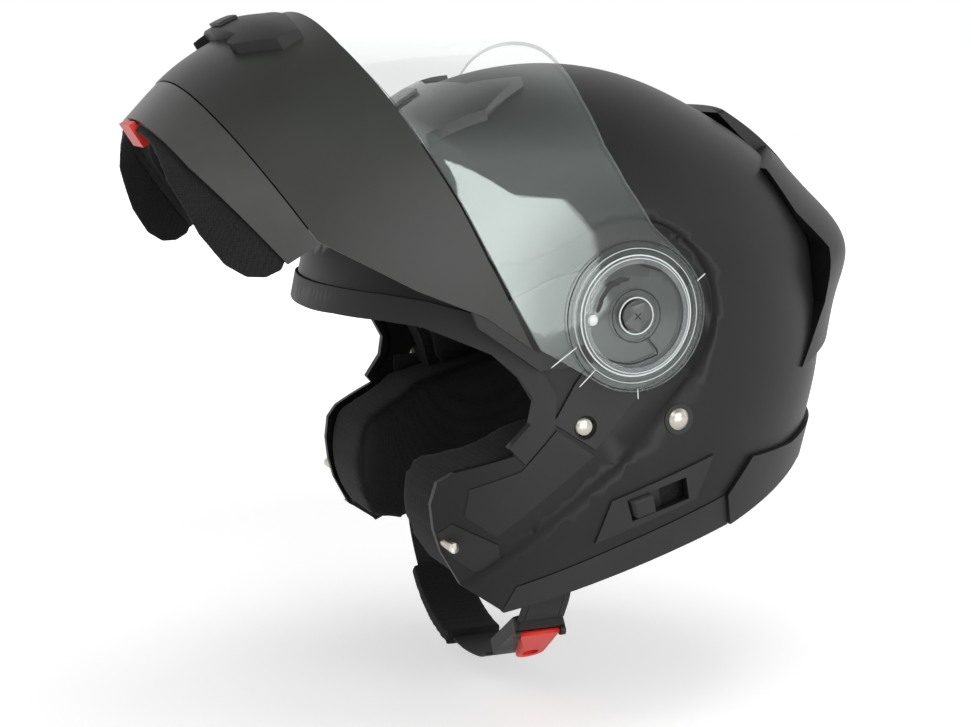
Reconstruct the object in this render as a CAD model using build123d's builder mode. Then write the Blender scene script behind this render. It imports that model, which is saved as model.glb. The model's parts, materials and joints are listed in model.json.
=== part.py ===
# Modular (flip-up) full face helmet, standing as it is worn, with the chin bar raised.
# The origin is the middle of the axis that the chin bar and the visor turn about.
# +Z is up, the helmet faces -Y, and +X is the wearer's left.
# Every piece is drawn in the helmet's own frame, with the chin bar closed. The side planes
# below then tilt it: fixed pieces by the pitch, raised ones also by the chin bar's lift.

import os
from math import cos, hypot, radians, sin

from build123d import *

os.makedirs("parts", exist_ok=True)

# Overall sizes, from the pivot axis
front_reach = 200.0     # to the front of the closed chin bar's envelope
rear_reach = 150.0      # to the back of the shell's envelope
crown_height = 116.0    # to the top of the crown
base_depth = 122.0      # to the plane of the bottom edge
shell_half_width = 121.0
flare = 2.3             # exponent of the rounding from side to side
pitch = 15.0            # the worn helmet leans forward by this angle
lift = 72.0             # the chin bar is raised by this angle

# Walls and gaps
shell_wall = 3.0
fit_gap = 0.3           # between pieces that only touch
run_gap = 0.6           # between pieces that slide past each other
overrun = 60.0          # how far a cutter runs past what it cuts

# Stack at the pivot, all from the shell outwards
recess_half_width = 116.5
recess_drop = 1.5
chin_half_width = 122.0
chin_wall = 3.0
visor_half_width = 125.0
visor_wall = 2.0
disc_radius = 36.0
recess_radius = 45.0
arm_radius = 30.0
pin_radius = 6.0
screw_head_radius = 7.4
screw_head_height = 1.2
ring_outer_radius = 27.7
ring_inner_radius = 24.4
ring_height = 0.9

# Lining
liner_inset = 4.8
foam_wall = 25.0
foam_half_width = 113.2
foam_side_wall = 25.5
pad_wall = 7.5
cheek_inset = 40.0
cheek_half_width = 66.0
sun_radius = 110.0
sun_wall = 2.0
sun_half_width = 112.5
sun_gap = 0.8
sun_pin_radius = 4.0

# Pieces that stand on the shell
plate_half_width = 118.2
plate_radius = 33.0
trim_proud = 0.5
diffuser_proud = 2.5
gasket_proud = 1.6
jaw_cover_proud = 0.9
striker_proud = 0.8
brow_vent_proud = 4.5
exhaust_proud = 7.0
bezel_proud = 1.2
knob_proud = 3.2
carriage_gap = 1.6      # under the shell, which closes in along the lever's way
carriage_wall = 1.6

# Chin bar
trim_step = 0.5
chin_foam_wall = 15.0
chin_pad_wall = 6.0
seal_wall = 2.5
curtain_wall = 2.5

# Strap and buckle
web_width = 25.0
web_wall = 2.0
strap_place = -28.0     # the strap's middle plane, in front of the pivot axis
strap_pad_wall = 3.0
buckle_length = 40.0
buckle_width = 27.0
buckle_height = 7.0
buckle_corner = 3.0
buckle_slope = 35.0
buckle_place_share = (0.496, -1.377)
tongue_length = 40.0
tongue_width = 15.0
tongue_wall = 2.2
tongue_depth = 30.0
lever_wall = 2.4
lever_pin_radius = 0.8
lever_pin_inset = 5.0
lever_ear_wall = 2.5
lever_ear_radius = 2.6
pull_ring_radius = 7.5
pull_ring_wall = 3.2
pull_ring_shift = 6.0
rivet_radius = 5.2
rivet_shank_radius = 2.5
rivet_height = 1.8
rivet_taper = 50.0
washer_radius = 7.5
washer_wall = 0.8
anchor_wall = 2.0
anchor_radius = 8.0

# Latches, button, sliders and breath guard
striker_pin_radius = 2.5
striker_inner_place = 72.0
latch_place = 95.3
latch_wall = 2.4
latch_jaw_radius = 7.5
latch_mouth_radius = 4.5
latch_eye_radius = 4.5
latch_pin_radius = 2.2
mouth_angle = -52.4
button_half_width = 12.0
button_travel = 4.0
button_drop = 3.5       # how far the button's face stands below the trim's edge
slider_wall = 1.8
slider_half_width = 9.0
guard_inset = 12.5
guard_wall = 2.0
guard_half_width = 46.0

cap_share = 0.3         # smallest slice of a rounded form, at its flat side
slice_share = (0.3, 0.42, 0.55, 0.7, 0.85, 0.95)

# Outlines seen from the side, as shares of the reaches above: (forward or back, up or down)
shell_outline_share = (
    (-0.705, -1.475), (-0.765, -1.054), (-0.73, -0.571), (-0.69, -0.213), (-0.645, 0.105),
    (-0.586, 0.322), (-0.519, 0.537), (-0.423, 0.728), (-0.295, 0.881), (-0.126, 0.98),
    (0.021, 0.994), (0.2, 0.965), (0.497, 0.794), (0.64, 0.647), (0.787, 0.466),
    (0.913, 0.241), (0.973, 0), (0.965, -0.209), (0.927, -0.566), (0.767, -0.967),
    (0.456, -1.541), (0, -1.844), (-0.41, -1.848))
chin_outline_share = (
    (-0.945, -0.27), (-0.915, 0), (-0.8, 0.431), (-0.55, 0.819), (-0.2, 0.99), (0.267, 0.99),
    (0.733, 0.819), (1.0, 0.259), (1.033, -0.328), (0.933, -0.984), (0.4, -1.639),
    (-0.25, -1.926), (-0.65, -1.762), (-0.89, -1.352), (-0.95, -1.025), (-0.98, -0.803),
    (-0.985, -0.639), (-0.97, -0.451))
visor_outline_share = (
    (-0.91, -0.344), (-0.851, -0.166), (-0.753, 0.095), (-0.6425, 0.35), (-0.5625, 0.513),
    (-0.425, 0.76), (-0.225, 0.966), (0, 1.06), (0.567, 0.991), (1.0, 0.517), (1.133, -0.164),
    (1.0, -0.984), (0.4, -1.475), (-0.3, -1.557), (-0.7, -1.148), (-0.86, -0.697))
spoiler_outline_share = (
    (-0.705, -1.475), (-0.765, -1.054), (-0.73, -0.571), (-0.69, -0.213), (-0.645, 0.105),
    (-0.586, 0.322), (-0.519, 0.537), (-0.423, 0.728), (-0.295, 0.881), (-0.126, 0.98),
    (0.021, 0.994), (0.2, 0.965), (0.497, 0.8), (0.68, 0.63), (0.86, 0.43),
    (1.02, 0.12), (1.125, -0.19), (1.05, -0.36), (0.96, -0.58), (0.78, -0.967),
    (0.456, -1.541), (0, -1.844), (-0.41, -1.848))

# Edges and regions, in the same shares
brow_curve_share = (
    (-0.7, 0.31), (-0.585, 0.289), (-0.5, 0.25), (-0.435, 0.2), (-0.37, 0.13), (-0.31, 0.03),
    (-0.27, -0.1), (-0.2525, -0.213), (-0.275, -0.31))
cheek_edge_share = (
    (-0.275, -0.31), (-0.35, -0.398), (-0.485, -0.414), (-0.5225, -0.443), (-0.5475, -0.525),
    (-0.5565, -0.623), (-0.555, -0.721), (-0.5325, -0.869), (-0.46, -1.01), (-0.46, -2.2),
    (-1.4, -2.2), (-1.4, 0.31), (-0.7, 0.31))
recess_edge_share = (
    (-0.9, 0.43), (-0.565, 0.55), (-0.45, 0.431), (-0.34, 0.353), (-0.2, 0.328), (0, 0.386),
    (0.147, -0.322), (-0.06, -0.5), (-0.1, -0.549), (-0.52, -0.857), (-0.65, -0.95),
    (-0.9, -0.95))
base_edge_share = (
    (-0.46, -1.0), (-0.42, -0.914), (-0.16, -0.885), (0.205, -0.859), (0.333, -0.748),
    (0.547, -0.81), (1.2, -0.85), (1.2, -2.2), (-0.46, -2.2))

chin_panel_share = (
    (-1.2, -0.27), (-0.945, -0.27), (-0.86, -0.293), (-0.695, -0.307), (-0.575, -0.328),
    (-0.45, -0.344), (-0.32, -0.373), (-0.08, -0.41), (-0.215, -0.5), (-0.35, -0.652),
    (-0.56, -0.84), (-1.2, -0.84))
chin_trim_share = (
    (-1.2, -0.845), (-0.555, -0.845), (-0.555, -0.975), (-0.825, -1.033), (-1.2, -1.033))
chin_liner_share = (
    (-1.2, -0.37), (-0.68, -0.37), (-0.59, -0.5), (-0.59, -0.95), (-0.8, -1.0), (-1.2, -1.0))
chin_seal_share = (
    (-1.2, -0.268), (-0.945, -0.268), (-0.86, -0.291), (-0.695, -0.305), (-0.695, -0.36),
    (-0.86, -0.346), (-0.945, -0.325), (-1.2, -0.325))
chin_vent_outline_share = (
    (-0.955, -0.27), (-0.915, 0), (-0.8, 0.431), (-0.55, 0.819), (-0.2, 0.99), (0.267, 0.99),
    (0.733, 0.819), (1.0, 0.259), (1.033, -0.328), (0.933, -0.984), (0.4, -1.639),
    (-0.25, -1.926), (-0.65, -1.762), (-0.89, -1.352), (-0.955, -1.025), (-1.0, -0.803),
    (-1.012, -0.62), (-0.999, -0.44))
chin_arm_share = (
    (0.14, -0.17), (-0.14, 0.02), (-0.19, -0.2), (-0.21, -0.39), (-0.08, -0.41),
    (-0.2, -0.485), (-0.24, -0.53), (-0.2, -0.54), (-0.03, -0.43), (0.05, -0.24))
chin_pad_share = (
    (-0.68, -0.5), (-0.595, -0.56), (-0.595, -0.9), (-0.7, -0.94), (-0.8, -0.94),
    (-0.8, -0.5))
visor_region_share = (
    (-1.3, -0.255), (-0.945, -0.255), (-0.86, -0.279), (-0.695, -0.293), (-0.575, -0.313),
    (-0.45, -0.33), (-0.32, -0.358), (-0.2, -0.378), (-0.0735, -0.389), (-0.05, -0.369),
    (0.133, -0.246), (0.24, 0), (0.14, 0.25), (-0.003, 0.307), (-0.065, 0.295),
    (-0.15, 0.259), (-0.2, 0.267), (-0.26, 0.272), (-0.305, 0.287), (-0.355, 0.302),
    (-0.45, 0.375), (-0.525, 0.457), (-0.5625, 0.513), (-1.3, 0.9))
gasket_region_share = (
    (-0.9, 0.36), (-0.57, 0.345), (-0.5, 0.31), (-0.435, 0.265), (-0.36, 0.19),
    (-0.285, 0.06), (-0.245, -0.09), (-0.2275, -0.213), (-0.25, -0.335), (-0.335, -0.44),
    (-0.36, -0.36), (-0.3, -0.29), (-0.278, -0.213), (-0.295, -0.11), (-0.335, 0.0),
    (-0.4, 0.09), (-0.46, 0.17), (-0.52, 0.21), (-0.59, 0.242), (-0.9, 0.26))
base_plate_share = (
    (-0.1, -0.1), (-0.175, -0.19), (-0.25, -0.31), (-0.165, -0.467), (-0.085, -0.385),
    (0, -0.29), (0, -0.2))
jaw_cover_share = (
    (-0.245, -0.345), (-0.345, -0.463), (-0.465, -0.488), (-0.49, -0.59), (-0.435, -0.7),
    (-0.3, -0.59), (-0.17, -0.49))
striker_share = (
    (-0.52, -0.61), (-0.435, -0.733), (-0.435, -0.833), (-0.5, -0.82), (-0.545, -0.73),
    (-0.552, -0.64))
base_trim_share = (
    (-0.46, -1.003), (-0.42, -0.917), (-0.16, -0.888), (0.205, -0.862), (0.205, -1.0),
    (-0.46, -1.016))
diffuser_share = (
    (0.209, -0.862), (0.333, -0.751), (0.547, -0.813), (1.3, -0.853), (1.3, -1.02),
    (0.6, -0.94), (0.209, -1.0))
bezel_share = ((-0.218, -0.836), (-0.158, -0.685), (0.177, -0.662), (0.087, -0.816))
slot_share = ((-0.12, -0.705), (0.06, -0.705), (0.06, -0.8), (-0.115, -0.8))
knob_share = ((-0.11, -0.715), (-0.055, -0.715), (-0.055, -0.79), (-0.105, -0.79))
carriage_share = ((-0.16, -0.69), (-0.02, -0.69), (-0.02, -0.81), (-0.16, -0.81))
spoiler_region_share = (
    (0.7, 0.33), (1.3, 0.4), (1.3, -0.53), (0.9, -0.5), (0.635, -0.51), (0.802, -0.3),
    (0.853, -0.077), (0.75, 0.12))
exhaust_share = ((0.72, 0.56), (0.95, 0.62), (1.3, 0.25), (1.3, 0.12), (0.94, 0.12))
exhaust_half_width = 38.0
foam_region_share = (
    (-0.9, 0.41), (-0.575, 0.37), (-0.5, 0.33), (-0.435, 0.29), (-0.36, 0.22), (-0.28, 0.08),
    (-0.22, -0.08), (-0.2, -0.24), (-0.2, -0.37), (0.1, -0.37), (0.1, -0.76), (1.3, -0.76),
    (1.3, -2.2), (-1.4, -2.2), (-1.4, 0.41))
lining_region_share = (
    (-0.9, 0.43), (-0.575, 0.4), (-0.43, 0.31), (-0.34, 0.22), (-0.26, 0.08), (-0.2, -0.08),
    (-0.18, -0.24), (-0.18, -0.37), (0.1, -0.37), (0.1, -0.74), (1.3, -0.74), (1.3, -2.2),
    (-1.4, -2.2), (-1.4, 0.43))
cheek_region_share = (
    (0.09, -0.375), (0.09, -0.87), (-0.16, -0.9), (-0.44, -0.93), (-0.53, -0.85),
    (-0.548, -0.72), (-0.548, -0.61), (-0.53, -0.52), (-0.49, -0.43), (-0.35, -0.41),
    (-0.29, -0.375))
roll_region_share = ((0.11, -0.765), (1.3, -0.765), (1.3, -0.95), (0.5, -0.9), (0.11, -0.93))
sun_region_share = (
    (-1.0, 0.197), (-0.5, 0.19), (-0.45, 0.15), (-0.25, -0.02), (-0.15, -0.09), (0, -0.11),
    (0.09, 0), (0.03, 0.12), (-0.12, 0.22), (-0.2, 0.42), (-0.27, 0.82), (-0.4, 1.2), (-1.0, 1.2))
sun_slot_share = (
    (0.13, -0.17), (0.13, 0.14), (0.03, 0.3), (0, 1.3), (-1.2, 1.3), (-1.2, -0.6),
    (-0.25, -0.33), (0, -0.17))
striker_pin_share = (-0.54, -0.683)
latch_pin_share = (-0.54, -0.541)
chin_curtain_share = (
    (-1.2, -1.03), (-0.82, -1.03), (-0.56, -0.97), (-0.548, -1.0), (-0.552, -1.06),
    (-0.575, -1.115), (-0.62, -1.15), (-0.7, -1.155), (-0.82, -1.12), (-0.9, -1.06), (-1.2, -1.045))
button_top_share = (-0.932, -0.985)
button_rear_share = (-0.88, -0.985)
button_front_share = (-0.942, -1.04)
chin_slider_share = ((-1.2, -0.47), (-0.9, -0.47), (-0.9, -0.55), (-1.2, -0.55))
top_slider_share = ((-0.26, 1.2), (-0.26, 0.8), (-0.19, 0.8), (-0.19, 1.2))
guard_share = ((-1.1, -0.368), (-1.1, -0.275), (-0.75, -0.275), (-0.75, -0.368))
front_rivet_share = (-0.176, -0.368)
rear_rivet_share = (0.073, -0.46)
strap_channel_share = (
    (0.92, -0.33), (0.915, -0.51), (0.84, -0.79), (0.775, -1.0), (0.74, -1.12),
    (0.68, -1.12), (0.715, -0.985), (0.785, -0.77), (0.86, -0.515), (0.86, -0.33))
near_strap_share = (
    (0.887, -0.41), (0.883, -0.5), (0.81, -0.78), (0.745, -1.0), (0.695, -1.17),
    (0.635, -1.275))
far_strap_share = (
    (-0.887, -0.41), (-0.883, -0.5), (-0.81, -0.78), (-0.745, -1.0), (-0.64, -1.25),
    (-0.45, -1.455), (-0.22, -1.55), (0, -1.575), (0.2, -1.555), (0.287, -1.523))
pad_strap_share = ((-0.56, -1.36), (-0.45, -1.455), (-0.22, -1.55), (-0.1, -1.568))
chin_vent_share = (
    (0, -0.33), (0.2, -0.33), (0.4, -0.37), (0.43, -0.47), (0.32, -0.6), (0, -0.64))
chin_mouth_share = ((0, -0.575), (0.26, -0.555), (0.31, -0.7), (0, -0.7))
brow_vent_share = (
    (0, -0.31), (0.25, -0.31), (0.45, -0.275), (0.545, -0.135), (0.42, 0.005), (0.3, -0.11),
    (0, -0.15))


def spot(share):
    """Turn a pair of shares into a point of the helmet's side view."""
    reach = front_reach if share[0] < 0 else rear_reach
    height = crown_height if share[1] > 0 else base_depth
    return (share[0] * reach, share[1] * height)


def spots(shares):
    return [spot(share) for share in shares]


def side_plane(angle):
    """The helmet's side view, turned about the pivot axis."""
    return Plane(
        origin=(0, 0, 0),
        x_dir=(0, cos(radians(angle)), sin(radians(angle))),
        z_dir=(1, 0, 0),
    )


def top_plane(angle):
    return Plane(
        origin=(0, 0, 0),
        x_dir=(1, 0, 0),
        z_dir=(0, -sin(radians(angle)), cos(radians(angle))),
    )


def front_plane(angle):
    return Plane(
        origin=(0, 0, 0),
        x_dir=(1, 0, 0),
        z_dir=(0, -cos(radians(angle)), -sin(radians(angle))),
    )


def half_shape(shares, width, reach):
    """A shape that is alike on both sides, from the shares of its one half."""
    half = [(x * width, y * reach) for x, y in shares]
    other = [(-x, y) for x, y in reversed(half[1:-1])]
    return half + other


def slice_places(half_width):
    """Where each slice of a rounded form stands, and its size, from right to left."""
    far = [(-half_width * (1 - s**flare) ** (1 / flare), s) for s in slice_share]
    near = [(-place, s) for place, s in reversed(far)]
    return far + [(0, 1)] + near


def rounded_form(side, outline_share, inset, half_width):
    """A closed body: the outline, drawn smaller slice by slice towards both sides."""
    with BuildPart() as form:
        for place, size in slice_places(half_width):
            with BuildSketch(side.offset(place)):
                with BuildLine():
                    ring = []
                    for y, z in spots(outline_share):
                        shrink = size * (1 - inset / hypot(y, z))
                        ring.append((y * shrink, z * shrink))
                    Spline(*ring, periodic=True)
                make_face()
        loft()
    return form.part


def side_block(side, points, low, high):
    """A prism across the helmet, from one place on the X axis to another."""
    with BuildPart() as block:
        with BuildSketch(side.offset(low)):
            with BuildLine():
                Polyline(*points, close=True)
            make_face()
        extrude(amount=high - low)
    return block.part


def write(piece, name):
    """Hand in one finished piece."""
    piece.part.label = name
    export_step(piece.part, f"parts/{name}.step")
    print(name, len(piece.part.solids()), round(piece.part.volume))


shell_side = side_plane(pitch)
shell_top = top_plane(pitch)
chin_side = side_plane(pitch - lift)
chin_front = front_plane(pitch - lift)
wide = shell_half_width + overrun


def shell_form(inset, half_width):
    return rounded_form(shell_side, shell_outline_share, inset, half_width)


def chin_form(inset, half_width):
    return rounded_form(chin_side, chin_outline_share, inset, half_width)


def shell_block(shares, low=-wide, high=wide):
    return side_block(shell_side, spots(shares), low, high)


def chin_block(shares, low=-wide, high=wide):
    return side_block(chin_side, spots(shares), low, high)


def disc(side, centre, radius, low, high):
    """A round plate across the helmet, from one place on the X axis to another."""
    with BuildPart() as plate:
        with BuildSketch(side.offset(low)):
            with Locations(centre):
                Circle(radius)
        extrude(amount=high - low)
    return plate.part


cap_factor = (1 - cap_share**flare) ** (1 / flare)
shell_cap = shell_half_width * cap_factor
recess_cap = recess_half_width * cap_factor
recess_inside = (recess_half_width - shell_wall) * cap_factor
plate_cap = plate_half_width * cap_factor
chin_cap = chin_half_width * cap_factor
visor_cap = visor_half_width * cap_factor

# Outer shell: full behind the ridge, sunk in front of it for the chin bar and the visor
shell_body = shell_form(0, shell_half_width)
recess_body = shell_form(recess_drop, recess_half_width)
rear_hollow = shell_form(shell_wall, shell_half_width - shell_wall)
recess_hollow = shell_form(recess_drop + shell_wall, recess_half_width - shell_wall)

with BuildPart() as recess_region:
    add(shell_block(recess_edge_share))
    add(disc(shell_side, (0, 0), recess_radius, -wide, wide))

with BuildPart() as recess_walls:
    with BuildSketch(shell_side.offset(-wide)):
        with BuildLine():
            Polyline(*spots(recess_edge_share), close=True)
        make_face()
        offset(amount=shell_wall)
    extrude(amount=2 * wide)
    add(disc(shell_side, (0, 0), recess_radius + shell_wall, -wide, wide))

with BuildPart() as rear_void:
    add(rear_hollow)
    add(recess_walls.part, mode=Mode.SUBTRACT)

with BuildPart() as face_region:
    with BuildSketch(shell_side.offset(-wide)):
        with BuildLine():
            Spline(*spots(brow_curve_share))
            Polyline(*spots(cheek_edge_share))
        make_face()
    extrude(amount=2 * wide)

lever_slot = shell_block(slot_share, 0, wide)

with BuildPart() as outer_shell:
    add(shell_body)
    add(recess_region.part, mode=Mode.SUBTRACT)
    add(recess_body)
    add(rear_void.part, mode=Mode.SUBTRACT)
    add(recess_hollow, mode=Mode.SUBTRACT)
    add(face_region.part, mode=Mode.SUBTRACT)
    add(shell_block(base_edge_share), mode=Mode.SUBTRACT)
    add(lever_slot, mode=Mode.SUBTRACT)
    for side_sign in (-1, 1):
        add(disc(shell_side, spot(front_rivet_share), rivet_shank_radius, 0, side_sign * wide),
            mode=Mode.SUBTRACT)
        add(disc(shell_side, spot(rear_rivet_share), rivet_shank_radius, 0, side_sign * wide),
            mode=Mode.SUBTRACT)
        add(disc(shell_side, spot(striker_pin_share), striker_pin_radius, 0, side_sign * wide),
            mode=Mode.SUBTRACT)
write(outer_shell, "outer_shell")


def cover(outer, inner, region):
    """A panel of the outer form within a region, hollowed by the inner form."""
    with BuildPart() as panel:
        add(outer)
        add(region, mode=Mode.INTERSECT)
        add(inner, mode=Mode.SUBTRACT)
    return panel.part


# Trim along the bottom edge, and the flared diffuser behind it
trim_hollow = shell_form(shell_wall, shell_half_width - shell_wall)
with BuildPart() as edge_trim:
    add(cover(shell_form(-trim_proud, shell_half_width + trim_proud), trim_hollow,
              shell_block(base_trim_share)))
write(edge_trim, "edge_trim")

with BuildPart() as neck_diffuser:
    add(cover(shell_form(-diffuser_proud, shell_half_width + diffuser_proud), trim_hollow,
              shell_block(diffuser_share)))
write(neck_diffuser, "neck_diffuser")

# Brow and cheek gasket: it laps the edge of the face opening
with BuildPart() as brow_gasket:
    add(cover(shell_form(recess_drop - gasket_proud, recess_half_width + gasket_proud),
              recess_hollow, shell_block(gasket_region_share)))
    add(outer_shell.part, mode=Mode.SUBTRACT)
write(brow_gasket, "brow_gasket")

# Energy absorbing liner, cut back where the sun visor and its arms swing
foam_outside = shell_form(liner_inset, foam_half_width)
foam_inside = shell_form(liner_inset + foam_wall, foam_half_width - foam_side_wall)


def sun_form(inset):
    """A form turned about the pivot axis, so that the sun visor can swing inside it."""
    radius = sun_radius - inset
    half_width = sun_half_width - inset
    with BuildPart() as form:
        with BuildSketch(Plane.XY):
            with BuildLine():
                edge = [(-half_width * (1 - s**flare) ** (1 / flare), s * radius)
                        for s in slice_share]
                near = [(-x, r) for x, r in reversed(edge)]
                Spline(*edge, (0, radius), *near)
                Polyline(near[-1], (near[-1][0], 0), (edge[0][0], 0), edge[0])
            make_face()
        revolve(axis=Axis.X)
    return form.part


sun_outside = sun_form(0)
sun_inside = sun_form(sun_wall)
sun_core = sun_form(sun_wall + sun_gap)
with BuildPart() as sun_slot:
    add(shell_block(sun_slot_share))
    add(sun_core, mode=Mode.SUBTRACT)

with BuildPart() as anchor_pockets:
    with BuildSketch(shell_side.offset(recess_inside - anchor_wall - run_gap)):
        with Locations(spot(front_rivet_share), spot(rear_rivet_share)):
            Circle(anchor_radius + run_gap)
        make_hull()
    extrude(amount=overrun)
    mirror(about=Plane.YZ)

strap_plane = Plane(origin=(0, strap_place + web_width / 2, 0), x_dir=(1, 0, 0), z_dir=(0, -1, 0))


def strap_points(shares):
    return [(x * shell_half_width, z * base_depth) for x, z in shares]


with BuildPart() as strap_channels:
    with BuildSketch(strap_plane.offset(-run_gap)):
        with BuildLine():
            Polyline(*strap_points(strap_channel_share), close=True)
        make_face()
    extrude(amount=web_width + 2 * run_gap)
    mirror(about=Plane.YZ)

with BuildPart() as eps_liner:
    add(foam_outside)
    add(foam_inside, mode=Mode.SUBTRACT)
    add(shell_block(foam_region_share), mode=Mode.SUBTRACT)
    add(sun_slot.part, mode=Mode.SUBTRACT)
    add(anchor_pockets.part, mode=Mode.SUBTRACT)
    add(strap_channels.part, mode=Mode.SUBTRACT)
    add(disc(shell_side, (0, 0), sun_pin_radius + run_gap, -wide, wide), mode=Mode.SUBTRACT)
write(eps_liner, "eps_liner")

# Comfort lining
pad_outside = shell_form(liner_inset + foam_wall + fit_gap,
                         foam_half_width - foam_side_wall - fit_gap)
pad_inside = shell_form(liner_inset + foam_wall + fit_gap + pad_wall,
                        foam_half_width - foam_side_wall - fit_gap - pad_wall)
with BuildPart() as crown_pad:
    add(pad_outside)
    add(pad_inside, mode=Mode.SUBTRACT)
    add(shell_block(lining_region_share), mode=Mode.SUBTRACT)
write(crown_pad, "crown_pad")

cheek_outside = shell_form(liner_inset + fit_gap, foam_half_width - fit_gap)
cheek_inside = shell_form(cheek_inset, cheek_half_width)
with BuildPart() as cheek_pad_left:
    add(cover(cheek_outside, cheek_inside, shell_block(cheek_region_share, 0, wide)))
    add(anchor_pockets.part, mode=Mode.SUBTRACT)
    add(strap_channels.part, mode=Mode.SUBTRACT)
write(cheek_pad_left, "cheek_pad_left")

with BuildPart() as cheek_pad_right:
    mirror(cheek_pad_left.part, about=Plane.YZ)
write(cheek_pad_right, "cheek_pad_right")

with BuildPart() as neck_roll:
    add(cover(cheek_outside, cheek_inside, shell_block(roll_region_share)))
    add(anchor_pockets.part, mode=Mode.SUBTRACT)
write(neck_roll, "neck_roll")

# Plates under the disc of the visor, one on each side
with BuildPart() as base_plate_left:
    with BuildSketch(shell_side):
        Circle(plate_radius)
        with BuildLine():
            Polyline(*spots(base_plate_share), close=True)
        make_face()
    extrude(amount=wide)
    add(shell_form(recess_drop, plate_half_width), mode=Mode.INTERSECT)
    add(recess_body, mode=Mode.SUBTRACT)
    add(disc(shell_side, spot(front_rivet_share), rivet_radius + run_gap, 0, wide),
        mode=Mode.SUBTRACT)
    add(brow_gasket.part, mode=Mode.SUBTRACT)
write(base_plate_left, "base_plate_left")

with BuildPart() as base_plate_right:
    mirror(base_plate_left.part, about=Plane.YZ)
write(base_plate_right, "base_plate_right")

# Inset jaw panels and the covers of the strikers
jaw_outside = shell_form(recess_drop, recess_half_width + jaw_cover_proud)
striker_outside = shell_form(recess_drop - striker_proud, recess_half_width + striker_proud)
with BuildPart() as jaw_cover_left:
    add(cover(jaw_outside, recess_body, shell_block(jaw_cover_share, 0, wide)))
write(jaw_cover_left, "jaw_cover_left")

with BuildPart() as jaw_cover_right:
    mirror(jaw_cover_left.part, about=Plane.YZ)
write(jaw_cover_right, "jaw_cover_right")

with BuildPart() as striker_cover_left:
    add(cover(striker_outside, recess_hollow, shell_block(striker_share, 0, wide)))
    add(outer_shell.part, mode=Mode.SUBTRACT)
    add(jaw_cover_left.part, mode=Mode.SUBTRACT)
    add(brow_gasket.part, mode=Mode.SUBTRACT)
    add(disc(shell_side, spot(striker_pin_share), striker_pin_radius, 0, wide),
        mode=Mode.SUBTRACT)
write(striker_cover_left, "striker_cover_left")

with BuildPart() as striker_cover_right:
    mirror(striker_cover_left.part, about=Plane.YZ)
write(striker_cover_right, "striker_cover_right")

# Crown vent, rear exhaust and rear spoiler
with BuildPart() as brow_vent_base:
    with BuildSketch(shell_top.offset(crown_height / 2)):
        with BuildLine():
            Polyline(*half_shape(brow_vent_share, shell_half_width, front_reach), close=True)
        make_face()
    extrude(amount=crown_height)
    add(shell_form(-brow_vent_proud, shell_half_width + brow_vent_proud), mode=Mode.INTERSECT)
    add(shell_body, mode=Mode.SUBTRACT)
write(brow_vent_base, "brow_vent_base")

with BuildPart() as exhaust_vent:
    add(shell_form(-exhaust_proud, shell_half_width + exhaust_proud))
    add(shell_block(exhaust_share, -exhaust_half_width, exhaust_half_width), mode=Mode.INTERSECT)
    add(shell_body, mode=Mode.SUBTRACT)
write(exhaust_vent, "exhaust_vent")

with BuildPart() as rear_spoiler:
    add(rounded_form(shell_side, spoiler_outline_share, 0, shell_half_width))
    add(shell_block(spoiler_region_share), mode=Mode.INTERSECT)
    add(shell_body, mode=Mode.SUBTRACT)
    add(exhaust_vent.part, mode=Mode.SUBTRACT)
write(rear_spoiler, "rear_spoiler")

# Sun visor lever in its bezel, on the left only
with BuildPart() as lever_bezel:
    add(cover(shell_form(-bezel_proud, shell_half_width + bezel_proud), shell_body,
              shell_block(bezel_share, 0, wide)))
    add(lever_slot, mode=Mode.SUBTRACT)
write(lever_bezel, "lever_bezel")

carriage_top = shell_form(shell_wall + carriage_gap,
                          shell_half_width - shell_wall - carriage_gap)
with BuildPart() as sun_lever:
    add(cover(shell_form(-knob_proud, shell_half_width + knob_proud), carriage_top,
              shell_block(knob_share, 0, wide)))
    add(cover(carriage_top,
              shell_form(shell_wall + carriage_gap + carriage_wall,
                         shell_half_width - shell_wall - carriage_gap - carriage_wall),
              shell_block(carriage_share, 0, wide)))
write(sun_lever, "sun_lever")

# Sun visor on its two pins
with BuildPart() as sun_visor:
    add(cover(sun_outside, sun_inside, shell_block(sun_region_share)))
    with BuildSketch(shell_side.offset(-wide)):
        Circle(sun_pin_radius + run_gap / 2)
    extrude(amount=2 * wide, mode=Mode.SUBTRACT)
write(sun_visor, "sun_visor")

sun_pin_depth = (sun_half_width - sun_wall) * cap_factor - run_gap
with BuildPart() as sun_pivot_pins:
    add(disc(shell_side, (0, 0), sun_pin_radius, sun_pin_depth, recess_inside))
    add(disc(shell_side, (0, 0), sun_pin_radius, -recess_inside, -sun_pin_depth))
write(sun_pivot_pins, "sun_pivot_pins")

# Pivot screws: they carry the chin bar and the visor
with BuildPart() as pivot_screw_left:
    add(disc(shell_side, (0, 0), pin_radius, plate_cap, visor_cap + run_gap))
    add(disc(shell_side, (0, 0), screw_head_radius, visor_cap + run_gap,
             visor_cap + run_gap + screw_head_height))
write(pivot_screw_left, "pivot_screw_left")

with BuildPart() as pivot_screw_right:
    mirror(pivot_screw_left.part, about=Plane.YZ)
write(pivot_screw_right, "pivot_screw_right")

# Chin bar: outer shell, lower trim, foam, seal, arms
chin_body = chin_form(0, chin_half_width)
chin_hollow = chin_form(chin_wall, chin_half_width - chin_wall)
with BuildPart() as chin_shell:
    add(cover(chin_body, chin_hollow, chin_block(chin_panel_share)))
write(chin_shell, "chin_shell")

with BuildPart() as chin_trim:
    add(cover(chin_form(trim_step, chin_half_width - trim_step), chin_hollow,
              chin_block(chin_trim_share)))
write(chin_trim, "chin_trim")

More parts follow.
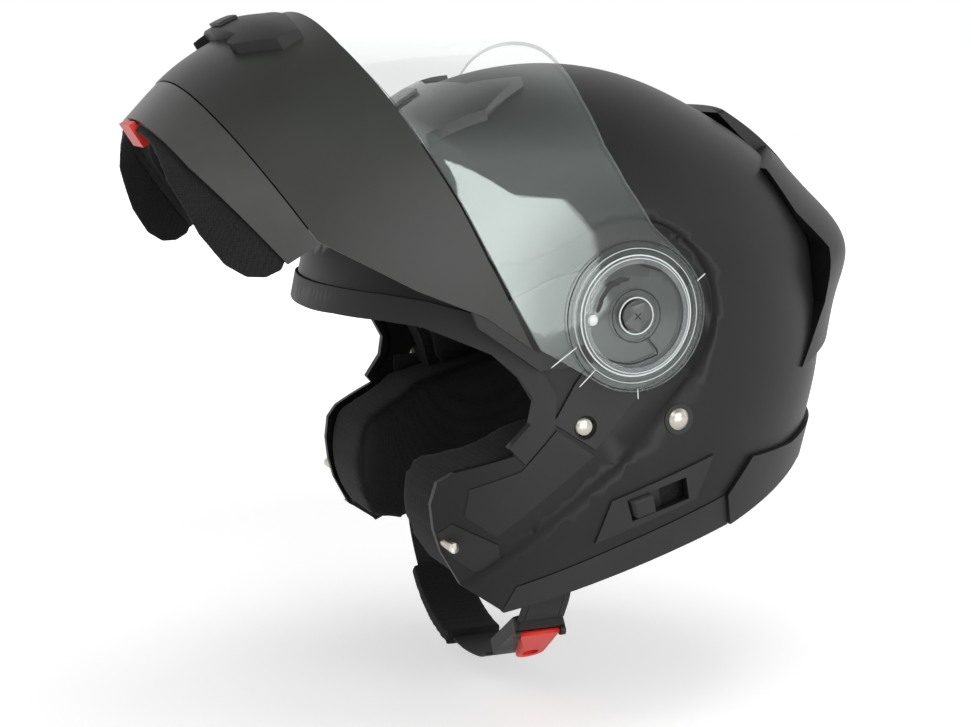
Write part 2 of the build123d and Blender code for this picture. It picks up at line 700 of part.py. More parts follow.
button_top = spot(button_top_share)
button_rear = spot(button_rear_share)
button_front = spot(button_front_share)
button_low = button_front[1] - button_drop
pocket_room = button_travel + run_gap
button_pocket = side_block(
    chin_side,
    [(button_front[0] - overrun, button_low - overrun),
     (button_front[0] - overrun, button_top[1] + run_gap),
     (button_rear[0] + pocket_room, button_top[1] + run_gap),
     (button_rear[0] + pocket_room, button_low - overrun)],
    -button_half_width - run_gap, button_half_width + run_gap)

liner_outside = chin_form(chin_wall + fit_gap, chin_half_width - chin_wall - fit_gap)
liner_inside = chin_form(chin_wall + chin_foam_wall, chin_half_width - chin_wall - chin_foam_wall)
with BuildPart() as chin_liner:
    add(cover(liner_outside, liner_inside, chin_block(chin_liner_share)))
    add(button_pocket, mode=Mode.SUBTRACT)
    for side_sign in (-1, 1):
        with BuildSketch(chin_side.offset(side_sign * (latch_place - run_gap))):
            with Locations(spot(latch_pin_share), spot(striker_pin_share)):
                Circle(latch_jaw_radius + 2 * latch_pin_radius)
            make_hull()
        extrude(amount=side_sign * overrun, mode=Mode.SUBTRACT)
write(chin_liner, "chin_liner")

with BuildPart() as chin_rim_gasket:
    add(cover(chin_hollow, chin_form(chin_wall + seal_wall, chin_half_width - chin_wall - seal_wall),
              chin_block(chin_seal_share)))
write(chin_rim_gasket, "chin_rim_gasket")

with BuildPart() as chin_pad_left:
    add(cover(chin_form(chin_wall + chin_foam_wall + fit_gap,
                        chin_half_width - chin_wall - chin_foam_wall - fit_gap),
              chin_form(chin_wall + chin_foam_wall + chin_pad_wall,
                        chin_half_width - chin_wall - chin_foam_wall - chin_pad_wall),
              chin_block(chin_pad_share, 0, wide)))
write(chin_pad_left, "chin_pad_left")

with BuildPart() as chin_pad_right:
    mirror(chin_pad_left.part, about=Plane.YZ)
write(chin_pad_right, "chin_pad_right")

with BuildPart() as chin_arm_left:
    with BuildSketch(chin_side.offset(plate_cap + run_gap)):
        Circle(arm_radius)
        with BuildLine():
            Polyline(*spots(chin_arm_share), close=True)
        make_face()
        Circle(pin_radius + fit_gap, mode=Mode.SUBTRACT)
    extrude(amount=chin_cap - plate_cap - 2 * run_gap)
    add(chin_shell.part, mode=Mode.SUBTRACT)
write(chin_arm_left, "chin_arm_left")

with BuildPart() as chin_arm_right:
    mirror(chin_arm_left.part, about=Plane.YZ)
write(chin_arm_right, "chin_arm_right")

# Curtain under the chin bar, one piece on each side of the button
with BuildPart() as chin_curtain_left:
    add(cover(chin_form(chin_wall + fit_gap, chin_half_width - chin_wall - fit_gap),
              chin_form(chin_wall + fit_gap + curtain_wall,
                        chin_half_width - chin_wall - fit_gap - curtain_wall),
              chin_block(chin_curtain_share, 0, wide)))
    add(button_pocket, mode=Mode.SUBTRACT)
write(chin_curtain_left, "chin_curtain_left")

with BuildPart() as chin_curtain_right:
    mirror(chin_curtain_left.part, about=Plane.YZ)
write(chin_curtain_right, "chin_curtain_right")

# Scoop vent on the chin bar, open at its lower end
vent_body = rounded_form(chin_side, chin_vent_outline_share, 0, chin_half_width)
with BuildPart() as chin_vent_housing:
    with BuildSketch(chin_front):
        with BuildLine():
            Polyline(*half_shape(chin_vent_share, chin_half_width, base_depth), close=True)
        make_face()
    extrude(amount=front_reach + overrun)
    add(vent_body, mode=Mode.INTERSECT)
    with BuildSketch(chin_front):
        with BuildLine():
            Polyline(*half_shape(chin_mouth_share, chin_half_width, base_depth), close=True)
        make_face()
    extrude(amount=front_reach + overrun, mode=Mode.SUBTRACT)
    add(chin_body, mode=Mode.SUBTRACT)
write(chin_vent_housing, "chin_vent_housing")

# Visor: the lens runs down to a disc on each side
with BuildPart() as visor_lens:
    add(rounded_form(chin_side, visor_outline_share, 0, visor_half_width))
    with BuildSketch(chin_side.offset(-wide)):
        with BuildLine():
            Polyline(*spots(visor_region_share), close=True)
        make_face()
        Circle(disc_radius)
        Circle(pin_radius + fit_gap, mode=Mode.SUBTRACT)
    extrude(amount=2 * wide, mode=Mode.INTERSECT)
    add(rounded_form(chin_side, visor_outline_share, visor_wall,
                     visor_half_width - visor_wall), mode=Mode.SUBTRACT)
write(visor_lens, "visor_lens")

with BuildPart() as visor_ring_left:
    with BuildSketch(chin_side.offset(visor_cap)):
        Circle(ring_outer_radius)
        Circle(ring_inner_radius, mode=Mode.SUBTRACT)
    extrude(amount=ring_height)
write(visor_ring_left, "visor_ring_left")

with BuildPart() as visor_ring_right:
    mirror(visor_ring_left.part, about=Plane.YZ)
write(visor_ring_right, "visor_ring_right")

# Strikers on the cheeks, and the latches of the chin bar that close over them
striker_spot = spot(striker_pin_share)
latch_spot = spot(latch_pin_share)
with BuildPart() as striker_pin_left:
    add(disc(shell_side, striker_spot, striker_pin_radius, striker_inner_place,
             latch_place + latch_wall + striker_pin_radius))
    add(recess_hollow, mode=Mode.SUBTRACT)
write(striker_pin_left, "striker_pin_left")

with BuildPart() as striker_pin_right:
    mirror(striker_pin_left.part, about=Plane.YZ)
write(striker_pin_right, "striker_pin_right")

with BuildPart() as latch_hook_left:
    with BuildSketch(chin_side.offset(latch_place)):
        with Locations(striker_spot):
            Circle(latch_jaw_radius)
        with Locations(latch_spot):
            Circle(latch_eye_radius)
        make_hull()
        with Locations(striker_spot):
            Circle(latch_mouth_radius, mode=Mode.SUBTRACT)
            Rectangle(
                2 * latch_jaw_radius, 2 * latch_mouth_radius, rotation=mouth_angle,
                align=(Align.MIN, Align.CENTER), mode=Mode.SUBTRACT)
        with Locations(latch_spot):
            Circle(latch_pin_radius + fit_gap, mode=Mode.SUBTRACT)
    extrude(amount=latch_wall)
write(latch_hook_left, "latch_hook_left")

with BuildPart() as latch_hook_right:
    mirror(latch_hook_left.part, about=Plane.YZ)
write(latch_hook_right, "latch_hook_right")

with BuildPart() as latch_pins:
    add(disc(chin_side, latch_spot, latch_pin_radius, latch_place - run_gap, wide))
    add(disc(chin_side, latch_spot, latch_eye_radius, latch_place + latch_wall + run_gap, wide))
    add(chin_hollow, mode=Mode.INTERSECT)
    mirror(about=Plane.YZ)
write(latch_pins, "latch_pins")

# Red release button in the bottom edge of the trim
with BuildPart() as release_button:
    add(side_block(
        chin_side,
        [(button_front[0], button_low), (button_front[0], button_front[1]),
         (button_top[0], button_front[1]), button_top, button_rear,
         (button_rear[0], button_low)],
        -button_half_width, button_half_width))
write(release_button, "release_button")

# Sliders of the vents
with BuildPart() as chin_vent_slider:
    add(rounded_form(chin_side, chin_vent_outline_share, -fit_gap - slider_wall,
                     chin_half_width + fit_gap + slider_wall))
    add(chin_block(chin_slider_share, -slider_half_width, slider_half_width), mode=Mode.INTERSECT)
    add(rounded_form(chin_side, chin_vent_outline_share, -fit_gap, chin_half_width + fit_gap),
        mode=Mode.SUBTRACT)
write(chin_vent_slider, "chin_vent_slider")

with BuildPart() as top_vent_slider:
    add(shell_form(-brow_vent_proud - fit_gap - slider_wall,
                   shell_half_width + brow_vent_proud + fit_gap + slider_wall))
    add(shell_block(top_slider_share, -slider_half_width, slider_half_width), mode=Mode.INTERSECT)
    add(shell_form(-brow_vent_proud - fit_gap, shell_half_width + brow_vent_proud + fit_gap),
        mode=Mode.SUBTRACT)
write(top_vent_slider, "top_vent_slider")

# Breath guard on the chin bar's foam
with BuildPart() as breath_guard:
    add(chin_form(chin_wall + guard_inset, chin_half_width - chin_wall - guard_inset))
    add(chin_block(guard_share, -guard_half_width, guard_half_width), mode=Mode.INTERSECT)
    add(chin_form(chin_wall + guard_inset + guard_wall,
                  chin_half_width - chin_wall - guard_inset - guard_wall), mode=Mode.SUBTRACT)
write(breath_guard, "breath_guard")

# Strap rivets and their anchor plates
front_rivet = spot(front_rivet_share)
rear_rivet = spot(rear_rivet_share)
anchor_top = recess_inside
with BuildPart() as strap_rivets:
    add(disc(shell_side, front_rivet, rivet_shank_radius, anchor_top, recess_cap))
    add(disc(shell_side, rear_rivet, rivet_shank_radius, anchor_top, shell_cap + washer_wall))
    with BuildSketch(shell_side.offset(recess_cap)):
        with Locations(front_rivet):
            Circle(rivet_radius)
    extrude(amount=rivet_height, taper=rivet_taper)
    with BuildSketch(shell_side.offset(shell_cap + washer_wall)):
        with Locations(rear_rivet):
            Circle(rivet_radius)
    extrude(amount=rivet_height, taper=rivet_taper)
    mirror(about=Plane.YZ)
write(strap_rivets, "strap_rivets")

with BuildPart() as rivet_washers:
    with BuildSketch(shell_side.offset(shell_cap)):
        with Locations(rear_rivet):
            Circle(washer_radius)
            Circle(rivet_shank_radius, mode=Mode.SUBTRACT)
    extrude(amount=washer_wall)
    mirror(about=Plane.YZ)
write(rivet_washers, "rivet_washers")

with BuildPart() as strap_anchors:
    with BuildSketch(shell_side.offset(anchor_top - anchor_wall)):
        with Locations(front_rivet, rear_rivet):
            Circle(anchor_radius)
        make_hull()
    extrude(amount=anchor_wall)
    mirror(about=Plane.YZ)
write(strap_anchors, "strap_anchors")

# Strap, buckle and the lever that frees it
with BuildPart() as chin_strap_left:
    with BuildSketch(strap_plane):
        with BuildLine():
            Spline(*strap_points(near_strap_share))
        trace(line_width=web_wall)
    extrude(amount=web_width)
write(chin_strap_left, "chin_strap_left")

with BuildPart() as chin_strap_right:
    with BuildSketch(strap_plane):
        with BuildLine() as far_route:
            Spline(*strap_points(far_strap_share))
        trace(line_width=web_wall)
    extrude(amount=web_width)
write(chin_strap_right, "chin_strap_right")

with BuildPart() as strap_pad:
    with BuildSketch(strap_plane.offset(-strap_pad_wall)):
        with BuildLine():
            Spline(*strap_points(pad_strap_share))
        trace(line_width=web_wall + 2 * strap_pad_wall)
    extrude(amount=web_width + 2 * strap_pad_wall)
    with BuildSketch(strap_plane.offset(-fit_gap)):
        add(far_route.line)
        trace(line_width=web_wall + 2 * fit_gap)
    extrude(amount=web_width + 2 * fit_gap, mode=Mode.SUBTRACT)
write(strap_pad, "strap_pad")

buckle_spot = strap_points([buckle_place_share])[0]
buckle_plane = Plane(
    origin=(buckle_spot[0], strap_place, buckle_spot[1]),
    x_dir=(cos(radians(buckle_slope)), 0, sin(radians(buckle_slope))),
    z_dir=(sin(radians(buckle_slope)), 0, -cos(radians(buckle_slope))),
)
lever_bottom = buckle_height / 2 + fit_gap
lever_length = buckle_width - 2 * (lever_ear_wall + run_gap)
hinge_plane = Plane(
    origin=buckle_plane.from_local_coords(
        (buckle_length / 2 - lever_pin_inset, -buckle_width / 2, lever_bottom + lever_wall / 2)),
    x_dir=buckle_plane.x_dir,
    z_dir=buckle_plane.y_dir,
)


def hinge_rod(radius, low, high):
    """A round rod on the lever's hinge line, between two places across the buckle."""
    with BuildPart() as rod:
        with BuildSketch(hinge_plane.offset(low)):
            Circle(radius)
        extrude(amount=high - low)
    return rod.part


with BuildPart() as buckle_body:
    with BuildSketch(buckle_plane.offset(-buckle_height / 2)):
        RectangleRounded(buckle_length, buckle_width, buckle_corner)
    extrude(amount=buckle_height)
    add(hinge_rod(lever_ear_radius, 0, lever_ear_wall))
    add(hinge_rod(lever_ear_radius, buckle_width - lever_ear_wall, buckle_width))
    add(hinge_rod(lever_pin_radius + fit_gap, -overrun, buckle_width + overrun),
        mode=Mode.SUBTRACT)
    with BuildSketch(buckle_plane.offset(-tongue_wall / 2 - fit_gap)):
        with Locations((-buckle_length / 2, 0)):
            Rectangle(
                2 * (tongue_depth + run_gap), tongue_width + 2 * fit_gap)
    extrude(amount=tongue_wall + 2 * fit_gap, mode=Mode.SUBTRACT)
write(buckle_body, "buckle_body")

with BuildPart() as buckle_tongue:
    with BuildSketch(buckle_plane.offset(-tongue_wall / 2)):
        with Locations((-buckle_length / 2 + tongue_depth, 0)):
            Rectangle(tongue_length, tongue_width, align=(Align.MAX, Align.CENTER))
    extrude(amount=tongue_wall)
write(buckle_tongue, "buckle_tongue")

with BuildPart() as buckle_lever:
    with BuildSketch(buckle_plane.offset(lever_bottom)):
        with Locations((-buckle_length / 2 + pull_ring_radius / 2, -pull_ring_shift)):
            Circle(pull_ring_radius)
        with Locations((buckle_length / 2 - lever_pin_inset, 0)):
            Rectangle(lever_pin_radius, lever_length)
        make_hull()
        with Locations((-buckle_length / 2 + pull_ring_radius / 2, -pull_ring_shift)):
            Circle(pull_ring_radius - pull_ring_wall, mode=Mode.SUBTRACT)
    extrude(amount=lever_wall)
    add(hinge_rod(lever_wall / 2, lever_ear_wall + run_gap, buckle_width - lever_ear_wall - run_gap))
    add(hinge_rod(lever_pin_radius, 0, buckle_width))
write(buckle_lever, "buckle_lever")
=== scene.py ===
import bpy
import bmesh
import json
import numpy as np
from math import radians, sin, cos, pi
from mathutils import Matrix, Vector


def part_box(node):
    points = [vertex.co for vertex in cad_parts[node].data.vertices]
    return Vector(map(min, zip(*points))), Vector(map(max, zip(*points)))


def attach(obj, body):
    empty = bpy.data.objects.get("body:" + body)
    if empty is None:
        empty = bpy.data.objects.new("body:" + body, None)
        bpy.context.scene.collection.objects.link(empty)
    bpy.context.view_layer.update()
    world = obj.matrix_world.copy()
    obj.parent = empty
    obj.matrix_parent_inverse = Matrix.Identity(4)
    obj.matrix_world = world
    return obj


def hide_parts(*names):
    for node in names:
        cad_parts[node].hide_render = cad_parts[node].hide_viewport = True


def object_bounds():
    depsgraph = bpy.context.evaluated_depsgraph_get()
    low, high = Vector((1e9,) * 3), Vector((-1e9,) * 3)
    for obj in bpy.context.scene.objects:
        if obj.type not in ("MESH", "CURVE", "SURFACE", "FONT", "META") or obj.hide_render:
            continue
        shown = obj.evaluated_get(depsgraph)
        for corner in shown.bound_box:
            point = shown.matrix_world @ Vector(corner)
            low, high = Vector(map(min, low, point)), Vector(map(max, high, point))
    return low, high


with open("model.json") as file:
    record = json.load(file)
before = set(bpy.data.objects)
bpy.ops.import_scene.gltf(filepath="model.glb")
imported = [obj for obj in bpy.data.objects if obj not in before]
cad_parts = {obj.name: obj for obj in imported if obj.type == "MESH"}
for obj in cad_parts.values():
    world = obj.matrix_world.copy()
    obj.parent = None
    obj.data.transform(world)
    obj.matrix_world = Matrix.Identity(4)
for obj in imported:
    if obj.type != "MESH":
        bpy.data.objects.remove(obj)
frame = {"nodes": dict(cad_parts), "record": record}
cadBox = [list(corner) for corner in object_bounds()]
print("frame loaded,", len(frame["nodes"]), "nodes")

scene = bpy.context.scene
scene.view_settings.view_transform = "Standard"
white = (1, 1, 1, 1)


def node(tree, kind, **values):
    n = tree.nodes.new(kind)
    for key, value in values.items():
        setattr(n, key, value)
    return n


def setRange(mapping, source, target):
    mapping.inputs["From Min"].default_value, mapping.inputs["From Max"].default_value = source
    mapping.inputs["To Min"].default_value, mapping.inputs["To Max"].default_value = target


def newMaterial(name):
    mat = bpy.data.materials.new(name)
    mat.use_nodes = True
    return mat, mat.node_tree, mat.node_tree.nodes["Principled BSDF"]


def linked(piece):
    scene.collection.objects.link(piece)
    return piece


# camera
cameraSetup = {
    "azimuth": 68.0,        # degrees, 0 looks along +Y
    "elevation": 9.5,
    "distance": 0.950,      # metres to the plane of the origin
    "lens": 66.9,           # millimetres on a 36 mm sensor
    "originRight": 0.0246,  # where the origin stands in the picture, metres
    "originUp": 0.0407,
    "sensor": 36,
}


def placeCamera(setup):
    a, e = radians(setup["azimuth"]), radians(setup["elevation"])
    back = Vector((sin(a) * cos(e), -cos(a) * cos(e), sin(e)))
    right = Vector((cos(a), sin(a), 0))
    up = back.cross(right)
    data = bpy.data.cameras.new("camera")
    data.lens, data.sensor_width = setup["lens"], setup["sensor"]
    cam = linked(bpy.data.objects.new("camera", data))
    cam.location = (back * setup["distance"] - right * setup["originRight"]
                    - up * setup["originUp"])
    cam.rotation_euler = back.to_track_quat("Z", "Y").to_euler()
    scene.camera = cam


placeCamera(cameraSetup)

# studio: a white floor that keeps the shadow, a white world, four softboxes
studio = {
    "floorDrop": 0.015,          # below the lowest point of the helmet
    "floorSize": 6.0,
    "floorColour": (0.93, 0.93, 0.93, 1),
    "floorRough": 0.9,
    "floorGlow": (0.44, 1.0),    # near the helmet and far off, for camera and reflections only
    "glowReach": (0.45, 1.5),    # metres from the middle, where that glow starts and is full
    "worldStrength": 0.30,       # what lights the helmet
    "backdrop": (1.0, 0.40),     # what reflections see, low down and straight above
    "backdropHeights": (0.72, 0.90),
    "lamps": {
        # name: place, size, power, shows in reflections
        "sideBox": ((1.466, 0.141, 0.286), (0.946, 1.03), 13.8, True),
        "keyBox": ((0.95, -0.95, 0.85), (0.8, 0.6), 2.5, True),
        "topBox": ((0.15, 0.15, 1.45), (1.0, 1.0), 8.0, False),
        "rearBox": ((0.55, 1.35, 0.45), (0.7, 0.8), 1.4, True),
    },
}


def addSoftbox(name, place, size, power, inGloss):
    data = bpy.data.lights.new(name, "AREA")
    data.shape, data.size, data.size_y, data.energy = "RECTANGLE", size[0], size[1], power
    lamp = linked(bpy.data.objects.new(name, data))
    lamp.visible_glossy = inGloss
    lamp.location = place
    lamp.rotation_euler = Vector(place).to_track_quat("Z", "Y").to_euler()


def larger(tree, first, second):
    most = node(tree, "ShaderNodeMath", operation="MAXIMUM")
    tree.links.new(first, most.inputs[0])
    tree.links.new(second, most.inputs[1])
    return most.outputs[0]


def seenRays(tree):
    # 1 for rays from the camera and for what glass and gloss show, else 0
    rays = node(tree, "ShaderNodeLightPath").outputs
    return larger(tree, larger(tree, rays["Is Camera Ray"], rays["Is Glossy Ray"]),
                  rays["Is Transmission Ray"])


def buildFloor(setup):
    low, size = cadBox[0][2] - setup["floorDrop"], setup["floorSize"]
    corners = [(-size, -size, low), (size, -size, low), (size, size, low), (-size, size, low)]
    mesh = bpy.data.meshes.new("floor")
    mesh.from_pydata(corners, [], [(0, 1, 2, 3)])
    linked(bpy.data.objects.new("floor", mesh))
    mat, tree, shader = newMaterial("paleFloor")
    shader.inputs["Base Color"].default_value = setup["floorColour"]
    shader.inputs["Roughness"].default_value = setup["floorRough"]
    shader.inputs["Emission Color"].default_value = white
    coords = node(tree, "ShaderNodeTexCoord")
    reach = node(tree, "ShaderNodeVectorMath", operation="LENGTH")
    glow = node(tree, "ShaderNodeMapRange")
    setRange(glow, setup["glowReach"], setup["floorGlow"])
    seen = node(tree, "ShaderNodeMath", operation="MULTIPLY")
    tree.links.new(coords.outputs["Object"], reach.inputs[0])
    tree.links.new(reach.outputs["Value"], glow.inputs["Value"])
    tree.links.new(glow.outputs[0], seen.inputs[0])
    tree.links.new(seenRays(tree), seen.inputs[1])
    tree.links.new(seen.outputs[0], shader.inputs["Emission Strength"])
    mesh.materials.append(mat)


def buildWorld(setup):
    scene.world = bpy.data.worlds.new("studio")
    scene.world.use_nodes = True
    tree = scene.world.node_tree
    air = tree.nodes["Background"]
    air.inputs["Color"].default_value = white
    air.inputs["Strength"].default_value = setup["worldStrength"]
    bright = node(tree, "ShaderNodeBackground")
    bright.inputs["Color"].default_value = white
    coords = node(tree, "ShaderNodeTexCoord")
    split = node(tree, "ShaderNodeSeparateXYZ")
    fade = node(tree, "ShaderNodeMapRange")
    setRange(fade, setup["backdropHeights"], setup["backdrop"])
    rays = node(tree, "ShaderNodeLightPath").outputs
    mix = node(tree, "ShaderNodeMixShader")
    tree.links.new(coords.outputs["Generated"], split.inputs[0])
    tree.links.new(split.outputs["Z"], fade.inputs["Value"])
    tree.links.new(larger(tree, fade.outputs[0], rays["Is Camera Ray"]), bright.inputs["Strength"])
    tree.links.new(seenRays(tree), mix.inputs[0])
    tree.links.new(air.outputs[0], mix.inputs[1])
    tree.links.new(bright.outputs[0], mix.inputs[2])
    tree.links.new(mix.outputs[0], tree.nodes["World Output"].inputs[0])


def buildStudio(setup):
    buildFloor(setup)
    buildWorld(setup)
    for name, values in setup["lamps"].items():
        addSoftbox(name, *values)


buildStudio(studio)
print("camera and studio ready")

# materials: colours are linear; grain is per metre; mottle is the slow change of colour
finishes = {
    "shellMatte": dict(colour=(0.0135, 0.0140, 0.0133), rough=0.44, gloss=0.18,
                       grain=2600, depth=0.05, mottle=0.12),
    # chinLitMatte is the shell's matte black painted about twice as light: painted light on the
    # raised chin bar
    "chinLitMatte": dict(colour=(0.0280, 0.0300, 0.0275), rough=0.42, gloss=0.24,
                      grain=2600, depth=0.05, mottle=0.10),
    "trimSatin": dict(colour=(0.0460, 0.0470, 0.0445), rough=0.36, gloss=0.32,
                      grain=5200, depth=0.10, mottle=0.25),
    "mouldedBlack": dict(colour=(0.0160, 0.0168, 0.0158), rough=0.50, gloss=0.26,
                         grain=3200, depth=0.18, mottle=0.16),
    "jawBlack": dict(colour=(0.0110, 0.0114, 0.0110), rough=0.50, gloss=0.28,
                     grain=3200, depth=0.14, mottle=0.16),
    "glossBlack": dict(colour=(0.0090, 0.0090, 0.0095), rough=0.14, gloss=0.50,
                       grain=900, depth=0.01, mottle=0.05),
    "softRubber": dict(colour=(0.0115, 0.0115, 0.0112), rough=0.55, gloss=0.30,
                       grain=1800, depth=0.08, mottle=0.12),
    "redPlastic": dict(colour=(0.7400, 0.0260, 0.0130), rough=0.42, gloss=0.26,
                       grain=2400, depth=0.05, mottle=0.08),
    "discGrey": dict(colour=(0.0720, 0.0790, 0.0780), rough=0.34, gloss=0.45,
                     grain=1500, depth=0.03, mottle=0.08),
    # grooveShade: painted shade, near-black beads that stand in for the shade inside the disc's
    # sunken grooves and the screw's cross
    "grooveShade": dict(colour=(0.0170, 0.0185, 0.0180), rough=0.50, gloss=0.30,
                       grain=2200, depth=0.05, mottle=0.10),
    "thread": dict(colour=(0.0240, 0.0240, 0.0240), rough=0.70, gloss=0.20,
                   grain=9000, depth=0.40, mottle=0.20),
}
grainDetail = {"mottleScale": 26, "mottleSpan": (0.3, 0.7), "roughSpan": 0.05, "bumpHeight": 0.0004}
knit = {"colour": (0.0230, 0.0235, 0.0230), "tones": (1.35, 0.55), "toneSpan": (0, 0.75),
        "cell": 0.0011, "order": 0.65, "cloud": 0.45, "cloudScale": 45,
        "rough": 0.92, "gloss": 0.15, "sheen": 0.06, "bump": 0.45, "bumpHeight": 0.0006}
tapeWeave = {"colour": (0.0120, 0.0120, 0.0125), "tones": (0.5, 1.5), "toneSpan": (0, 1),
             "rib": 0.0016, "pick": 0.0012, "ribShare": 0.6,
             "rough": 0.72, "gloss": 0.30, "sheen": 0.08, "bump": 0.5, "bumpHeight": 0.0003}
foam = {"colour": (0.0140, 0.0140, 0.0150), "tones": (0.5, 1), "toneSpan": (0, 0.15),
        "bead": 0.0035,
        "rough": 0.80, "gloss": 0.20, "sheen": 0.00, "bump": 0.3, "bumpHeight": 0.0005}
clears = {
    # alpha: far from the pivot line, and near it; mirror: reflects as a hard coated sheet does
    "clearLens": dict(tint=(0.82, 0.92, 0.89), alpha=(0.070, 0.036), rough=0.03, mirror=1.0),
    # lensRimHighlight: the lens's rim faces painted a light grey, a painted highlight of its edge
    # catching light
    "lensRimHighlight": dict(tint=(0.52, 0.55, 0.54), alpha=(0.52, 0.52), rough=0.10, mirror=0.0),
    "sunTint": dict(tint=(0.05, 0.07, 0.13), alpha=(0.78, 0.78), rough=0.05, mirror=0.0),
    "paleRing": dict(tint=(0.36, 0.39, 0.39), alpha=(0.30, 0.30), rough=0.10, mirror=0.0),
    # beadHighlight: the disc's raised rings, ticks and pin painted near white, painted highlights
    # along their edges
    "beadHighlight": dict(tint=(0.80, 0.84, 0.83), alpha=(0.75, 0.75), rough=0.12, mirror=0.0),
}
clearDetail = {"fade": (0.040, 0.078), "hazeScale": 18, "hazeSpan": 0.03, "index": 1.58}
steel = {"colour": (0.44, 0.42, 0.37, 1), "rough": (0.22, 0.36), "speckScale": 400}
made = {}


def objectPattern(tree, kind, scale, detail=None, **values):
    # a noise or cell texture on the piece's own coordinates
    coords = node(tree, "ShaderNodeTexCoord")
    pattern = node(tree, kind, **values)
    pattern.inputs["Scale"].default_value = scale
    if detail is not None:
        pattern.inputs["Detail"].default_value = detail
    tree.links.new(coords.outputs["Object"], pattern.inputs["Vector"])
    return pattern


def toneRamp(tree, source, colour, shares, span):
    # the colour, darker or lighter by the two shares, over the span of the source
    ramp = node(tree, "ShaderNodeValToRGB")
    for element, share, place in zip(ramp.color_ramp.elements, shares, span):
        element.position = place
        element.color = tuple(c * share for c in colour) + (1,)
    tree.links.new(source, ramp.inputs[0])
    return ramp.outputs[0]


def spreadRough(tree, source, shader, low, high):
    spread = node(tree, "ShaderNodeMapRange")
    setRange(spread, (0, 1), (low, high))
    tree.links.new(source, spread.inputs["Value"])
    tree.links.new(spread.outputs[0], shader.inputs["Roughness"])


def raiseBump(tree, source, shader, strength, height, sunk=False):
    bump = node(tree, "ShaderNodeBump", invert=sunk)
    bump.inputs["Strength"].default_value = strength
    bump.inputs["Distance"].default_value = height
    tree.links.new(source, bump.inputs["Height"])
    tree.links.new(bump.outputs[0], shader.inputs["Normal"])


def softFinish(shader, setup):
    shader.inputs["Roughness"].default_value = setup["rough"]
    shader.inputs["Specular IOR Level"].default_value = setup["gloss"]
    shader.inputs["Sheen Weight"].default_value = setup["sheen"]


def grainMaterial(name, colour, rough, gloss, grain, depth, mottle):
    # moulded or painted surface: fine grain in the bump, a slow mottle in colour and roughness
    mat, tree, shader = newMaterial(name)
    fine = objectPattern(tree, "ShaderNodeTexNoise", grain, detail=3)
    slow = objectPattern(tree, "ShaderNodeTexNoise", grainDetail["mottleScale"], detail=5)
    tone = toneRamp(tree, slow.outputs["Fac"], colour, (1 - mottle, 1 + mottle),
                    grainDetail["mottleSpan"])
    tree.links.new(tone, shader.inputs["Base Color"])
    span = grainDetail["roughSpan"]
    spreadRough(tree, slow.outputs["Fac"], shader, rough - span, rough + span)
    shader.inputs["Specular IOR Level"].default_value = gloss
    raiseBump(tree, fine.outputs["Fac"], shader, depth, grainDetail["bumpHeight"])
    return mat


def knitMaterial(name, setup):
    # spacer knit: small open cells in the bump, a worn cloudiness in the colour
    mat, tree, shader = newMaterial(name)
    cells = objectPattern(tree, "ShaderNodeTexVoronoi", 1 / setup["cell"], feature="F1")
    cells.inputs["Randomness"].default_value = 1 - setup["order"]
    cloud = objectPattern(tree, "ShaderNodeTexNoise", setup["cloudScale"], detail=6)
    far = cells.outputs["Distance"]
    yarn = toneRamp(tree, far, setup["colour"], setup["tones"], setup["toneSpan"])
    tone = node(tree, "ShaderNodeMix", data_type="RGBA", blend_type="MULTIPLY")
    tone.inputs["Factor"].default_value = setup["cloud"]
    tree.links.new(yarn, tone.inputs["A"])
    tree.links.new(cloud.outputs["Fac"], tone.inputs["B"])
    tree.links.new(tone.outputs["Result"], shader.inputs["Base Color"])
    softFinish(shader, setup)
    raiseBump(tree, far, shader, setup["bump"], setup["bumpHeight"], sunk=True)
    return mat


def webbingMaterial(name, setup):
    # woven tape on its own UV map, metres along and metres across: with the angles
    # p = 2 pi along / pick and r = 2 pi across / rib, the height is sin(p + r) + share sin(r)
    mat, tree, shader = newMaterial(name)
    place = node(tree, "ShaderNodeUVMap", uv_map="weave")
    split = node(tree, "ShaderNodeSeparateXYZ")
    tree.links.new(place.outputs[0], split.inputs[0])
    turns = []
    for axis, pitch in (("X", setup["pick"]), ("Y", setup["rib"])):
        turn = node(tree, "ShaderNodeMath", operation="MULTIPLY")
        turn.inputs[1].default_value = 2 * pi / pitch
        tree.links.new(split.outputs[axis], turn.inputs[0])
        turns.append(turn.outputs[0])
    slant = node(tree, "ShaderNodeMath", operation="ADD")
    tree.links.new(turns[0], slant.inputs[0])
    tree.links.new(turns[1], slant.inputs[1])
    twill = node(tree, "ShaderNodeMath", operation="SINE")
    tree.links.new(slant.outputs[0], twill.inputs[0])
    ribs = node(tree, "ShaderNodeMath", operation="SINE")
    tree.links.new(turns[1], ribs.inputs[0])
    weave = node(tree, "ShaderNodeMath", operation="MULTIPLY_ADD")
    weave.inputs[1].default_value = setup["ribShare"]
    tree.links.new(ribs.outputs[0], weave.inputs[0])
    tree.links.new(twill.outputs[0], weave.inputs[2])
    most = 1 + setup["ribShare"]
    level = node(tree, "ShaderNodeMapRange")
    setRange(level, (-most, most), (0, 1))
    tree.links.new(weave.outputs[0], level.inputs["Value"])
    tone = toneRamp(tree, level.outputs[0], setup["colour"], setup["tones"], setup["toneSpan"])
    tree.links.new(tone, shader.inputs["Base Color"])
    softFinish(shader, setup)
    raiseBump(tree, level.outputs[0], shader, setup["bump"], setup["bumpHeight"])
    return mat


